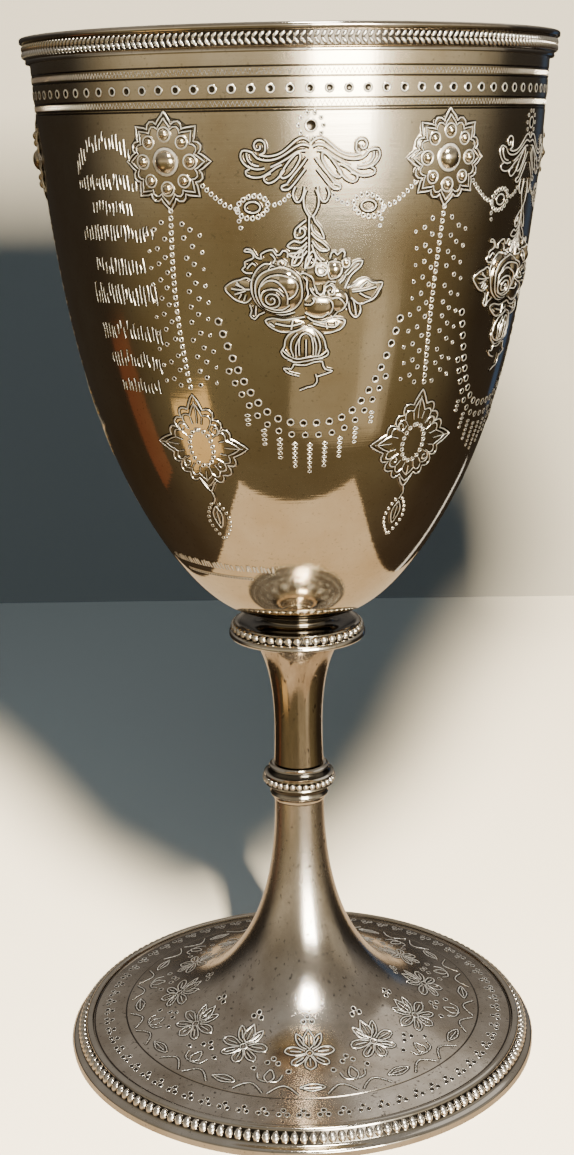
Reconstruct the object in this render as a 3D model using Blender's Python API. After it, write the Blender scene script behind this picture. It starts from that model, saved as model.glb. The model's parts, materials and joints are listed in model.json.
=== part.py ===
"""A silver-plated presentation goblet: hollow bowl with raised ornament, beaded collar, stem and trumpet foot."""

import math

import bmesh
import bpy
from mathutils import Vector
from mathutils.geometry import interpolate_bezier

# Driving dimensions in metres. The foot stands on z = 0 and the axis of the cup is Z.
JOIN_GAP = 0.0003  # solder line between neighbouring pieces

BORDER_RADIUS = 0.0579  # standing flange of the foot
BORDER_WIDTH = 0.0052  # flange edge to the toe that laps over the foot
BORDER_RISE = 0.0004  # how far the top fillet stands above the foot
BORDER_FOOTING = 0.0036  # width of the flat ring that stands on the table
FLANGE_HEIGHT = 0.0022
BORDER_BEADS = 164
BORDER_BEAD_LIFT = 0.0007

PLATE_LEVEL = 0.0051  # top of the foot plate where the border's toe meets it
PLATE_FALL = 0.2  # outward fall of the plate under the border
TRUMPET_HEIGHT = 0.0625
TRUMPET_NECK_RADIUS = 0.0060
FOOT_SHEET = 0.0009

RING_HEIGHT = 0.0091
RING_RADIUS = 0.0088
RING_BEADS = 33
RING_BEAD_LIFT = 0.0005

STEM_LENGTH = 0.0318
STEM_FOOT_RADIUS = 0.0060
STEM_HEAD_RADIUS = 0.0110
STEM_WALL = 0.0010

COLLAR_RADIUS = 0.0162
COLLAR_HEIGHT = 0.0060
COLLAR_BEADS = 45
COLLAR_BEAD_LIFT = 0.0006

BOWL_SEAT_RADIUS = 0.0090
BOWL_HEIGHT = 0.1283
MOUTH_RADIUS = 0.0563
BOWL_WALL = 0.0012

RIM_HEIGHT = 0.0052
RIM_STAND = 0.0021  # how far the lip stands out from the bowl
LIP_CAP = 0.0008  # thickness of the lip over the bowl's edge

PANELS = 6
FRONT_TURN = math.radians(4)  # the front bouquet, from -Y towards +X
PLAIN_PANEL = 5  # this panel carries engraving and no bouquet
ROSETTE_LEVEL = 0.815  # share of the bowl's height
ROSETTE_RADIUS = 0.0085
ROSETTE_PLATE_LIFT = 0.0004
ROSETTE_BOSS_LIFT = 0.0012
BOUQUET_LEVEL = 0.6235  # share of the bowl's height
BOUQUET_REACH = 0.0160
BOUQUET_PLATE_LIFT = 0.0005
ROSE_LIFT = 0.0028
RELIEF_ROOT = 0.0005  # how deep the relief's underside lies in the wall

# Facets round each piece
BOWL_FACETS = 44
FOOT_FACETS = 40
STEM_FACETS = 20

# Outlines as shares: (radius, height) from the narrow end to the wide end of each Bezier span
BOWL_SPANS = (
    ((0, 0), (0.254, 0.003), (0.490, 0.140), (0.645, 0.272)),
    ((0.645, 0.272), (0.852, 0.4485), (0.956, 0.710), (1, 1)),
)
TRUMPET_SPANS = (
    ((1, 0), (0.665, 0.059), (0.406, 0.069), (0.193, 0.328)),
    ((0.193, 0.328), (0.049, 0.503), (0, 0.755), (0, 1)),
)
STEM_SPANS = (((0, 0), (-0.11, 0.35), (-0.12, 0.78), (1, 1)),)

# Heights where the pieces meet
ring_base = TRUMPET_HEIGHT + JOIN_GAP
stem_base = ring_base + RING_HEIGHT + JOIN_GAP
collar_base = stem_base + STEM_LENGTH + JOIN_GAP
bowl_base = collar_base + COLLAR_HEIGHT + JOIN_GAP
cup_height = bowl_base + BOWL_HEIGHT + JOIN_GAP + LIP_CAP
rim_base = cup_height - RIM_HEIGHT

toe_radius = BORDER_RADIUS - BORDER_WIDTH
footing_radius = BORDER_RADIUS - BORDER_FOOTING
bore_radius = TRUMPET_NECK_RADIUS - FOOT_SHEET


def clear_scene():
    for item in list(bpy.data.objects):
        bpy.data.objects.remove(item)


def silver(name, colour, roughness):
    material = bpy.data.materials.new(name)
    material.use_nodes = True
    shader = material.node_tree.nodes["Principled BSDF"]
    shader.inputs["Base Color"].default_value = (*colour, 1)
    shader.inputs["Roughness"].default_value = roughness
    shader.inputs["Metallic"].default_value = 1
    return material


def bezier_outline(spans, start, end, steps):
    """Points (radius, height) along spans whose shares run from start to end."""
    points = []
    for span, count in zip(spans, steps):
        knots = [
            Vector((start[0] + (end[0] - start[0]) * r, start[1] + (end[1] - start[1]) * z))
            for r, z in span
        ]
        run = interpolate_bezier(*knots, count + 1)
        points += [(p.x, p.y) for p in run[bool(points):]]
    return points


def offset(points, distance):
    """The outline moved sideways, to the left of its direction of travel."""
    moved = []
    for i, point in enumerate(points):
        before = Vector(points[max(i - 1, 0)])
        after = Vector(points[min(i + 1, len(points) - 1)])
        along = (after - before).normalized()
        moved.append((point[0] - along.y * distance, point[1] + along.x * distance))
    return moved


def turn(outline, facets):
    """A bmesh turned round Z. An outline that starts on the axis also ends on it; any other is a closed loop."""
    bm = bmesh.new()
    verts = [bm.verts.new((r, 0, z)) for r, z in outline]
    edges = [bm.edges.new(pair) for pair in zip(verts, verts[1:])]
    if outline[0][0] > 0:
        edges.append(bm.edges.new((verts[-1], verts[0])))
    bmesh.ops.spin(
        bm, geom=verts + edges, cent=(0, 0, 0), axis=(0, 0, 1), angle=math.tau, steps=facets, use_merge=True
    )
    bmesh.ops.remove_doubles(bm, verts=bm.verts, dist=1e-7)
    bmesh.ops.recalc_face_normals(bm, faces=bm.faces)
    return bm


def on_circle(vert, point):
    return math.hypot(math.hypot(vert.co.x, vert.co.y) - point[0], vert.co.z - point[1]) < 1e-5


def bead_row(bm, low, high, facets, beads, lift):
    """Raises a row of beads on the band between two circles, one or two beads to each facet."""
    rim = {v for v in bm.verts if on_circle(v, low) or on_circle(v, high)}
    if beads > facets:
        rings = [
            e for e in bm.edges if rim.issuperset(e.verts) and abs(e.verts[0].co.z - e.verts[1].co.z) < 1e-6
        ]
        cut = bmesh.ops.subdivide_edges(bm, edges=rings, cuts=1)
        middles = [item for item in cut["geom_inner"] if isinstance(item, bmesh.types.BMVert)]
        for vert in middles:
            vert.co.xy /= math.cos(math.pi / facets)
        rim.update(middles)
    seats = [f for f in bm.faces if rim.issuperset(f.verts)]
    bmesh.ops.poke(bm, faces=seats, offset=lift)


def add_piece(name, bm, level, material, parent):
    mesh = bpy.data.meshes.new(name)
    bm.to_mesh(mesh)
    bm.free()
    mesh.shade_smooth()
    mesh.set_sharp_from_angle(angle=math.radians(35))
    mesh.materials.append(material)
    piece = bpy.data.objects.new(name, mesh)
    piece.location.z = level
    piece.parent = parent
    bpy.context.scene.collection.objects.link(piece)
    return piece


def bowl_outline(steps):
    shoulder = rim_base - bowl_base
    return bezier_outline(BOWL_SPANS, (BOWL_SEAT_RADIUS, 0), (MOUTH_RADIUS, shoulder), steps)


def patch_on_bowl(turned, level):
    """A function that lays (across, up, lift) on the bowl's outer face round a middle point."""
    outline = bowl_outline((24, 48))

    def radius_at(height):
        for (r0, z0), (r1, z1) in zip(outline, outline[1:]):
            if height <= z1:
                return r0 + (r1 - r0) * (height - z0) / (z1 - z0)
        return outline[-1][0]

    step = 0.001
    lean = math.atan2(radius_at(level + step) - radius_at(level - step), 2 * step)

    def place(across, up, lift):
        height = level + up * math.cos(lean)
        radius = radius_at(height)
        angle = turned + across / radius
        radius += lift * math.cos(lean)
        return (radius * math.sin(angle), -radius * math.cos(angle), height - lift * math.sin(lean))

    return place


def raise_lump(bm, place, middle, outline, levels, top):
    """A closed lump: the outline at each (scale, lift), a fan up to its top and a fan below."""
    rings = [
        [bm.verts.new(place(middle[0] + scale * x, middle[1] + scale * y, lift)) for x, y in outline]
        for scale, lift in levels
    ]
    count = len(outline)
    base = bm.verts.new(place(*middle, levels[0][1]))
    crown = bm.verts.new(place(*middle, top))
    for i in range(count):
        k = (i + 1) % count
        bm.faces.new((rings[0][k], rings[0][i], base))
        bm.faces.new((rings[-1][i], rings[-1][k], crown))
        for lower, upper in zip(rings, rings[1:]):
            bm.faces.new((lower[i], lower[k], upper[k], upper[i]))


def ring_points(radius, sides, start=0.0):
    angles = [start + math.tau * i / sides for i in range(sides)]
    return [(radius * math.cos(a), radius * math.sin(a)) for a in angles]


def star_points(tip, notch, tips):
    angles = [math.pi / 2 + math.pi * i / tips for i in range(2 * tips)]
    radii = [notch if i % 2 else tip for i in range(2 * tips)]
    return [(r * math.cos(a), r * math.sin(a)) for r, a in zip(radii, angles)]


def add_rosette(plates, bosses, place):
    leaves = star_points(ROSETTE_RADIUS, 0.74 * ROSETTE_RADIUS, 8)
    raise_lump(plates, place, (0, 0), leaves, ((1, -RELIEF_ROOT), (1, ROSETTE_PLATE_LIFT)), ROSETTE_PLATE_LIFT)
    boss_levels = ((1, -RELIEF_ROOT), (0.85, 0.6 * ROSETTE_BOSS_LIFT))
    raise_lump(bosses, place, (0, 0), ring_points(0.225 * ROSETTE_RADIUS, 6), boss_levels, ROSETTE_BOSS_LIFT)
    for x, y in ring_points(0.55 * ROSETTE_RADIUS, 8, math.pi / 8):
        knob = ring_points(0.15 * ROSETTE_RADIUS, 4)
        raise_lump(bosses, place, (x, y), knob, ((1, -RELIEF_ROOT),), ROSETTE_BOSS_LIFT)


def add_bouquet(plates, bosses, place):
    reach = BOUQUET_REACH
    spray = [(r * reach * math.cos(a), 0.72 * r * reach * math.sin(a)) for r, a in spray_outline()]
    raise_lump(plates, place, (0, 0), spray, ((1, -RELIEF_ROOT), (1, BOUQUET_PLATE_LIFT)), BOUQUET_PLATE_LIFT)
    rose = ring_points(0.32 * reach, 8)
    raise_lump(bosses, place, (-0.40 * reach, 0), rose, ((1, -RELIEF_ROOT), (0.85, 0.6 * ROSE_LIFT)), ROSE_LIFT)
    for x, y, share in ((0.30, 0.26, 0.14), (0.12, 0.05, 0.12), (0.38, -0.12, 0.13)):
        bud = ring_points(share * reach, 5)
        raise_lump(bosses, place, (x * reach, y * reach), bud, ((1, -RELIEF_ROOT),), 0.6 * ROSE_LIFT)
    bell = [(0.24 * reach * x, 0.34 * reach * y) for x, y in ring_points(1, 6)]
    raise_lump(bosses, place, (0, -0.70 * reach), bell, ((1, -RELIEF_ROOT),), 0.5 * ROSE_LIFT)


def spray_outline():
    """Leaf tips and the hollows between them, as (share of reach, angle)."""
    tips = 8
    for i in range(tips):
        middle = math.pi / 2 + math.tau * i / tips
        yield 0.95 + 0.10 * abs(math.cos(middle)), middle
        yield 0.66, middle + math.pi / tips


def add_bowl(material, parent):
    outer = bowl_outline((5, 5)) + [(MOUTH_RADIUS, BOWL_HEIGHT)]
    inner = offset(bowl_outline((4, 4)), BOWL_WALL)
    mouth = MOUTH_RADIUS - BOWL_WALL
    inner = [(max(r, 0), z) for r, z in inner] + [(mouth, BOWL_HEIGHT)]
    outline = [(0, 0)] + outer + inner[::-1] + [(0, BOWL_WALL)]
    bowl = add_piece("bowl", turn(outline, BOWL_FACETS), bowl_base, material, parent)
    plates = bmesh.new()
    bosses = bmesh.new()
    for panel in range(PANELS):
        turned = FRONT_TURN + math.tau * panel / PANELS
        between = turned + math.pi / PANELS
        add_rosette(plates, bosses, patch_on_bowl(between, ROSETTE_LEVEL * BOWL_HEIGHT))
        if panel != PLAIN_PANEL:
            add_bouquet(plates, bosses, patch_on_bowl(turned, BOUQUET_LEVEL * BOWL_HEIGHT))
    for name, relief in (("relief_plates", plates), ("relief_bosses", bosses)):
        bmesh.ops.recalc_face_normals(relief, faces=relief.faces)
        guide = add_piece(name, relief, bowl_base, material, parent)
        guide.hide_render = True
        guide.display_type = "WIRE"
        join = bowl.modifiers.new(name, "BOOLEAN")
        join.operation = "UNION"
        join.object = guide


def add_rim_band(material, parent):
    inside = MOUTH_RADIUS + JOIN_GAP
    lip = MOUTH_RADIUS + RIM_STAND
    bead = MOUTH_RADIUS + 0.42 * RIM_STAND
    cap = RIM_HEIGHT - LIP_CAP
    outline = (
        (inside, 0),
        (bead, 0),
        (bead, 0.16 * RIM_HEIGHT),
        (MOUTH_RADIUS + 0.62 * RIM_STAND, 0.20 * RIM_HEIGHT),
        (MOUTH_RADIUS + 0.81 * RIM_STAND, 0.75 * RIM_HEIGHT),
        (lip, 0.80 * RIM_HEIGHT),
        (lip, RIM_HEIGHT),
        (MOUTH_RADIUS - BOWL_WALL, RIM_HEIGHT),
        (MOUTH_RADIUS - BOWL_WALL, cap),
        (inside, cap),
    )
    add_piece("rim_band", turn(outline, BOWL_FACETS), rim_base, material, parent)


def add_beaded_collar(material, parent):
    edge = COLLAR_RADIUS
    height = COLLAR_HEIGHT
    neck = BOWL_SEAT_RADIUS
    low = (0.98 * edge, 0.28 * height)
    high = (0.925 * edge, 0.58 * height)
    outline = (
        (0, 0),
        (0.97 * edge, 0),
        (edge, 0.08 * height),
        (edge, 0.25 * height),
        low,
        high,
        (0.89 * edge, 0.63 * height),
        (0.85 * edge, 0.56 * height),
        (0.68 * edge, 0.43 * height),
        (0.96 * neck, 0.60 * height),
        (0.93 * neck, 0.83 * height),
        (neck, height),
        (0, height),
    )
    bm = turn(outline, COLLAR_BEADS)
    bead_row(bm, low, high, COLLAR_BEADS, COLLAR_BEADS, COLLAR_BEAD_LIFT)
    add_piece("beaded_collar", bm, collar_base, material, parent)


def add_upper_stem(material, parent):
    ends = ((STEM_FOOT_RADIUS, 0), (STEM_HEAD_RADIUS, STEM_LENGTH))
    outer = bezier_outline(STEM_SPANS, *ends, (6,))
    inner = [(r - STEM_WALL, z) for r, z in bezier_outline(STEM_SPANS, *ends, (4,))]
    add_piece("upper_stem", turn(outer + inner[::-1], STEM_FACETS), stem_base, material, parent)


def add_stem_ring(material, parent):
    body = TRUMPET_NECK_RADIUS
    swell = RING_RADIUS - body
    height = RING_HEIGHT
    low = (RING_RADIUS, 0.48 * height)
    high = (RING_RADIUS, 0.70 * height)
    outline = (
        (bore_radius, 0),
        (body + 0.08 * swell, 0),
        (body + 0.12 * swell, 0.10 * height),
        (body + 0.34 * swell, 0.14 * height),
        (body + 0.28 * swell, 0.28 * height),
        low,
        high,
        (body + 0.88 * swell, 0.76 * height),
        (body + 0.68 * swell, 0.84 * height),
        (body + 0.50 * swell, 0.93 * height),
        (body + 0.26 * swell, height),
        (bore_radius, height),
    )
    bm = turn(outline, RING_BEADS)
    bead_row(bm, low, high, RING_BEADS, RING_BEADS, RING_BEAD_LIFT)
    add_piece("stem_ring", bm, ring_base, material, parent)


def plate_top(radius):
    return PLATE_LEVEL - PLATE_FALL * (radius - toe_radius)


def add_trumpet_foot(material, parent):
    start = (TRUMPET_NECK_RADIUS, PLATE_LEVEL)
    end = (toe_radius, TRUMPET_HEIGHT)
    edge_radius = footing_radius - JOIN_GAP
    edge = [(edge_radius, plate_top(edge_radius))]
    outer = edge + bezier_outline(TRUMPET_SPANS, start, end, (5, 4))
    inner = offset(edge + bezier_outline(TRUMPET_SPANS, start, end, (4, 3)), FOOT_SHEET)
    inner[0] = (edge_radius, inner[0][1])
    inner[-1] = (bore_radius, TRUMPET_HEIGHT)
    add_piece("trumpet_foot", turn(outer + inner[::-1], FOOT_FACETS), 0, material, parent)


def add_foot_border(material, parent):
    edge = BORDER_RADIUS
    width = BORDER_WIDTH
    top = PLATE_LEVEL + JOIN_GAP + BORDER_RISE
    low = (edge - 0.27 * width, 0.55 * top)
    high = (edge - 0.58 * width, 0.92 * top)
    outline = (
        (edge, 0),
        (edge, 0.8 * FLANGE_HEIGHT),
        (edge - 0.10 * width, FLANGE_HEIGHT),
        low,
        high,
        (edge - 0.72 * width, top),
        (edge - 0.95 * width, top),
        (toe_radius, plate_top(toe_radius) + JOIN_GAP),
        (footing_radius, plate_top(footing_radius) + JOIN_GAP),
        (footing_radius, 0),
    )
    facets = BORDER_BEADS // 2
    bm = turn(outline, facets)
    bead_row(bm, low, high, facets, BORDER_BEADS, BORDER_BEAD_LIFT)
    add_piece("foot_border", bm, 0, material, parent)


def build():
    clear_scene()
    cup = bpy.data.objects.new("cup", None)
    bpy.context.scene.collection.objects.link(cup)
    body = silver("bowl_silver", (0.62, 0.54, 0.41), 0.24)
    mounts = silver("mount_silver", (0.66, 0.61, 0.53), 0.28)
    add_bowl(body, cup)
    add_rim_band(mounts, cup)
    add_beaded_collar(mounts, cup)
    add_upper_stem(body, cup)
    add_stem_ring(mounts, cup)
    add_trumpet_foot(mounts, cup)
    add_foot_border(mounts, cup)


build()
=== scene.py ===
import json
import math
import random
from bisect import bisect_right

import bmesh
import bpy
from mathutils import Matrix, Vector
from mathutils.geometry import interpolate_bezier

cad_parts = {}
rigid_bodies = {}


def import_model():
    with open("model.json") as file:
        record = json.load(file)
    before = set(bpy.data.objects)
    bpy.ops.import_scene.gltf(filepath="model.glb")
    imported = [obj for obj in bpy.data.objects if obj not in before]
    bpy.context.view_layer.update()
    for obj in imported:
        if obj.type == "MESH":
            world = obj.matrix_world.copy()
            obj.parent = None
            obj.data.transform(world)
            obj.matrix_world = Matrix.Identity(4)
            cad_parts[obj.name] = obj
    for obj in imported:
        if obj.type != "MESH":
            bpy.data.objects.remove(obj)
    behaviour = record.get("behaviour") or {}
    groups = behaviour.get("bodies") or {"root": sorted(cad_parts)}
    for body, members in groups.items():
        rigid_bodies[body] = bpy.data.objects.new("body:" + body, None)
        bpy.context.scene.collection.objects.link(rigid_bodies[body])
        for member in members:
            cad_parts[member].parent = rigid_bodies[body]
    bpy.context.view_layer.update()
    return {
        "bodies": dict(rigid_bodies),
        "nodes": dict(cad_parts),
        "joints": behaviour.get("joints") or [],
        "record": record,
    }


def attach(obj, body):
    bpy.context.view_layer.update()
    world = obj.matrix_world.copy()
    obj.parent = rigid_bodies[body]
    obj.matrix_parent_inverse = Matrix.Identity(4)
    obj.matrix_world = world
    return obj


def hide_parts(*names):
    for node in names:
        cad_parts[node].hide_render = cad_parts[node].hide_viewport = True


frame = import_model()
mm = 0.001

# camera and studio

camera = {
    "distance": 384.05, "height": 221.1, "pitch": 15.0, "roll": -0.85, "yaw": -0.335,
    "focal": 1680.2, "tall": 1155,
}


def addCamera(settings):
    pitch, roll, yaw = (math.radians(settings[name]) for name in ("pitch", "roll", "yaw"))
    right = Vector((math.cos(yaw), -math.sin(yaw), 0))
    ahead = Vector((math.sin(yaw), math.cos(yaw), 0))
    forward = math.cos(pitch) * ahead - math.sin(pitch) * Vector((0, 0, 1))
    above = math.sin(pitch) * ahead + math.cos(pitch) * Vector((0, 0, 1))
    across = math.cos(roll) * right + math.sin(roll) * above
    up = math.cos(roll) * above - math.sin(roll) * right
    lens = bpy.data.cameras.new("camera")
    lens.sensor_fit = "VERTICAL"
    lens.sensor_height = 36
    lens.lens = settings["focal"] / settings["tall"] * lens.sensor_height
    lens.clip_start = 0.01
    item = bpy.data.objects.new("camera", lens)
    item.matrix_world = Matrix((across, up, -forward)).transposed().to_4x4()
    item.location = Vector((0, -settings["distance"], settings["height"])) * mm
    bpy.context.scene.collection.objects.link(item)
    bpy.context.scene.camera = item


addCamera(camera)

studio = {
    # each lamp: side and rise in degrees, away, width and height in metres, brightness, colour
    # these ones only the cup mirrors
    "mirrored": {
        "key": (13, 54, 1.0, 0.24, 0.24, 85, (1, 0.97, 0.92)),
        "front": (22, 6, 1.15, 0.52, 0.42, 27, (1, 0.96, 0.86)),
        "frontWide": (22, 3, 1.2, 0.9, 0.5, 1.2, (1, 0.94, 0.82)),
        "halo": (27, 3, 1.25, 1.15, 0.56, 0.6, (1, 0.92, 0.76)),
        "haze": (30, 2, 1.3, 1.8, 0.6, 0.2, (1, 0.92, 0.74)),
        "card": (24, -30, 1.0, 0.8, 0.4, 0.22, (1, 0.84, 0.6)),
        "cardEdge": (45, -26, 1.05, 0.3, 0.42, 0.22, (1, 0.88, 0.7)),
        "right": (84, 12, 1.2, 0.7, 0.5, 0.14, (1, 0.9, 0.7)),
        "amber": (-62, -35, 0.9, 0.34, 0.2, 0.85, (1, 0.62, 0.24)),
        "ruddy": (-100, -26, 0.9, 0.2, 0.34, 0.12, (1, 0.24, 0.08)),
        "streak": (150, -30, 1.0, 0.07, 0.4, 1.0, (1, 0.94, 0.84)),
        "blue": (147, -3, 1.0, 0.16, 0.4, 0.14, (0.12, 0.36, 0.8)),
        "behind": (140, 48, 1.3, 0.8, 0.6, 0.5, (1, 0.97, 0.92)),
    },
    # and these light only the floor and the wall
    "unmirrored": {
        "lamp": (12, 30, 1.6, 0.09, 0.09, 11100, (1, 0.83, 0.56)),
        "sky": (-30, 32, 1.5, 1.5, 1.5, 1.55, (0.76, 0.93, 1)),
    },
    "aim": (0, 0, 0.13),
    "floorColour": (0.86, 0.84, 0.80),
    "wallColour": (0.29, 0.29, 0.285),
    "wallAway": 0.40, "wallTop": 2, "reach": 3,
    # the sheet of paper that the cup mirrors, just under the floor; it glows in place of lit paper
    "paper": ((-0.099, -0.127), (0.105, -0.127), (0.112, 0.30), (-0.112, 0.30)),
    "paperGlow": (0.95, 0.70, 0.44),
    "paperHeight": -0.0005,
    # outline of the shade on the wall and the floor, in metres, and the depth of the card that casts it
    "shade": (
        (-0.6, 0.4, 0.2), (0.03, 0.4, 0.2), (0.108, 0.4, 0.064), (0.112, 0.4, 0), (0.09, 0.333, 0),
        (0.064, 0.25, 0), (0.05, 0.196, 0), (0.034, 0.149, 0), (-0.002, 0.085, 0), (-0.03, 0.06, 0),
        (-0.07, 0.105, 0), (-0.11, 0.18, 0), (-0.155, 0.25, 0), (-0.6, 0.35, 0),
    ),
    "shadeDepth": -0.3,
    # colours of the dim room by height of the direction, before and behind the cup
    "roomBefore": (
        (0.0, (0.13, 0.095, 0.055)), (0.26, (0.18, 0.14, 0.07)), (0.36, (0.215, 0.17, 0.088)),
        (0.43, (0.38, 0.32, 0.215)), (0.5, (0.66, 0.58, 0.43)), (0.58, (0.36, 0.31, 0.23)),
        (0.7, (0.22, 0.19, 0.14)), (1, (0.3, 0.29, 0.27)),
    ),
    "roomBehind": (
        (0.0, (0.08, 0.055, 0.035)), (0.3, (0.035, 0.025, 0.016)), (0.5, (0.03, 0.026, 0.022)),
        (0.57, (0.06, 0.055, 0.05)), (0.68, (0.25, 0.23, 0.205)), (1, (0.32, 0.30, 0.275)),
    ),
}


def feed(tree, node, inputs):
    # each input takes a value, or the output that feeds it
    for name, value in inputs.items():
        if isinstance(value, bpy.types.NodeSocket):
            tree.links.new(value, node.inputs[name])
        else:
            node.inputs[name].default_value = value


def addNode(tree, kind, inputs=None, **settings):
    node = tree.nodes.new("ShaderNode" + kind)
    for name, value in settings.items():
        setattr(node, name, value)
    feed(tree, node, inputs or {})
    return node


def newMaterial(name):
    material = bpy.data.materials.new(name)
    material.use_nodes = True
    return material, material.node_tree, material.node_tree.nodes["Principled BSDF"]


def addLight(name, settings, aim, mirrored):
    side, rise, away, width, height, glow, colour = settings
    side, rise = math.radians(side), math.radians(rise)
    lamp = bpy.data.lights.new(name, "AREA")
    lamp.shape = "RECTANGLE"
    lamp.size, lamp.size_y = width, height
    lamp.energy = math.pi * glow * lamp.size * lamp.size_y
    lamp.color = colour
    item = bpy.data.objects.new(name, lamp)
    level = away * math.cos(rise)
    offset = (level * math.sin(side), -level * math.cos(side), away * math.sin(rise))
    item.location = Vector(aim) + Vector(offset)
    item.rotation_euler = (Vector(aim) - item.location).to_track_quat("-Z", "Y").to_euler()
    item.visible_glossy = mirrored
    item.visible_diffuse = not mirrored
    bpy.context.scene.collection.objects.link(item)
    return item


def plainMaterial(name, colour, oneSided=False, glow=None):
    material, tree, shader = newMaterial(name)
    feed(tree, shader, {"Base Color": (*colour, 1), "Roughness": 0.9, "Specular IOR Level": 0.0})
    if glow:
        feed(tree, shader, {"Base Color": (0, 0, 0, 1), "Emission Color": (*glow, 1), "Emission Strength": 1})
    if oneSided:
        back, clear = addNode(tree, "NewGeometry"), addNode(tree, "BsdfTransparent")
        sides = {0: back.outputs["Backfacing"], 1: shader.outputs[0], 2: clear.outputs[0]}
        mix = addNode(tree, "MixShader", sides)
        feed(tree, tree.nodes["Material Output"], {"Surface": mix.outputs[0]})
    return material


def addSheet(name, corners, material, mirrored, seen, shades=False):
    bm = bmesh.new()
    bm.faces.new([bm.verts.new(corner) for corner in corners])
    mesh = bpy.data.meshes.new(name)
    bm.to_mesh(mesh)
    bm.free()
    mesh.materials.append(material)
    item = bpy.data.objects.new(name, mesh)
    item.visible_glossy = mirrored
    item.visible_camera = seen
    item.visible_diffuse = False
    item.visible_shadow = shades
    bpy.context.scene.collection.objects.link(item)


def colourRamp(tree, stops, height):
    ramp = addNode(tree, "ValToRGB", {"Fac": height})
    elements = ramp.color_ramp.elements
    elements[0].position, elements[0].color = stops[0][0], (*stops[0][1], 1)
    elements[1].position, elements[1].color = stops[-1][0], (*stops[-1][1], 1)
    for position, colour in stops[1:-1]:
        elements.new(position).color = (*colour, 1)
    return ramp.outputs[0]


def addRoom(settings):
    world = bpy.data.worlds.new("room")
    world.use_nodes = True
    world.cycles_visibility.diffuse = False
    bpy.context.scene.world = world
    tree = world.node_tree
    split = addNode(tree, "SeparateXYZ", {0: addNode(tree, "TexCoord").outputs["Generated"]})
    rise = addNode(tree, "MapRange", {"Value": split.outputs["Z"], "From Min": -1}).outputs[0]
    turn = addNode(
        tree, "MapRange", {"Value": split.outputs["Y"], "From Min": -0.55, "From Max": 0.35},
        interpolation_type="SMOOTHSTEP",
    )
    before, behind = (colourRamp(tree, settings[name], rise) for name in ("roomBefore", "roomBehind"))
    mix = addNode(tree, "Mix", {0: turn.outputs[0], 6: before, 7: behind}, data_type="RGBA")
    feed(tree, tree.nodes["Background"], {"Color": mix.outputs[2]})


def addStudio(settings):
    floor = plainMaterial("paperFloor", settings["floorColour"])
    wall = plainMaterial("paperWall", settings["wallColour"], oneSided=True)
    glow = plainMaterial("paperGlow", settings["floorColour"], glow=settings["paperGlow"])
    back, far, top, under = (settings[name] for name in ("wallAway", "reach", "wallTop", "paperHeight"))
    addSheet("floor", ((-far, -far, 0), (far, -far, 0), (far, far, 0), (-far, far, 0)), floor, False, True)
    addSheet("wall", ((-far, back, 0), (far, back, 0), (far, back, top), (-far, back, top)), wall, False, True)
    addSheet("mirroredPaper", [(x, y, under) for x, y in settings["paper"]], glow, True, False)
    for name, lamp in settings["mirrored"].items():
        addLight(name, lamp, settings["aim"], True)
    lamps = {}
    for name, lamp in settings["unmirrored"].items():
        lamps[name] = addLight(name, lamp, settings["aim"], False)
    # the card's corners are where rays from the lamp to the shade's outline pass the card's depth
    source, card = lamps["lamp"].location, []
    for spot in settings["shade"]:
        share = (settings["shadeDepth"] - source.y) / (spot[1] - source.y)
        card.append(source + (Vector(spot) - source) * share)
    addSheet("shadeCard", card, wall, False, False, True)
    addRoom(settings)


addStudio(studio)
print("studio ready")

# outlines and surfaces, in millimetres

bowlShape = {
    "seat": 9.0, "mouth": 56.3, "base": 110.6, "shoulder": 124.2, "top": 238.9, "wall": 1.2,
    "spans": (
        ((0, 0), (0.254, 0.003), (0.490, 0.140), (0.645, 0.272)),
        ((0.645, 0.272), (0.852, 0.4485), (0.956, 0.710), (1, 1)),
    ),
}
footShape = {
    "neck": 6.0, "toe": 52.7, "level": 5.1, "top": 62.5, "sheet": 0.9, "fall": 0.2, "edge": 54.0,
    "spans": (
        ((1, 0), (0.665, 0.059), (0.406, 0.069), (0.193, 0.328)),
        ((0.193, 0.328), (0.049, 0.503), (0, 0.755), (0, 1)),
    ),
}


def bezierOutline(spans, start, end, steps):
    points, size = [], (end[0] - start[0], end[1] - start[1])
    for span in spans:
        knots = [Vector((start[0] + size[0] * r, start[1] + size[1] * z)) for r, z in span]
        run = interpolate_bezier(*knots, steps + 1)
        points += [(p.x, p.y) for p in run[bool(points):]]
    return points


def offsetOutline(points, distance):
    moved = []
    for i, point in enumerate(points):
        before, after = Vector(points[max(i - 1, 0)]), Vector(points[min(i + 1, len(points) - 1)])
        along = (after - before).normalized()
        moved.append((point[0] - along.y * distance, point[1] + along.x * distance))
    return moved


def surfaceFrom(points):
    lengths = [0.0]
    for before, after in zip(points, points[1:]):
        lengths.append(lengths[-1] + math.dist(before, after))
    return {"points": points, "lengths": lengths}


def onSurface(surface, run):
    points, lengths = surface["points"], surface["lengths"]
    i = min(max(bisect_right(lengths, run) - 1, 0), len(lengths) - 2)
    share = (run - lengths[i]) / (lengths[i + 1] - lengths[i])
    before, after = Vector(points[i]), Vector(points[i + 1])
    along = (after - before).normalized()
    return before.lerp(after, share), Vector((along.y, -along.x))


def layOn(surface, degrees, run, lift=0.0):
    point, outward = onSurface(surface, run)
    radius, height = point + lift * outward
    angle = math.radians(degrees)
    return Vector((radius * math.sin(angle), -radius * math.cos(angle), height)) * mm


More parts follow.
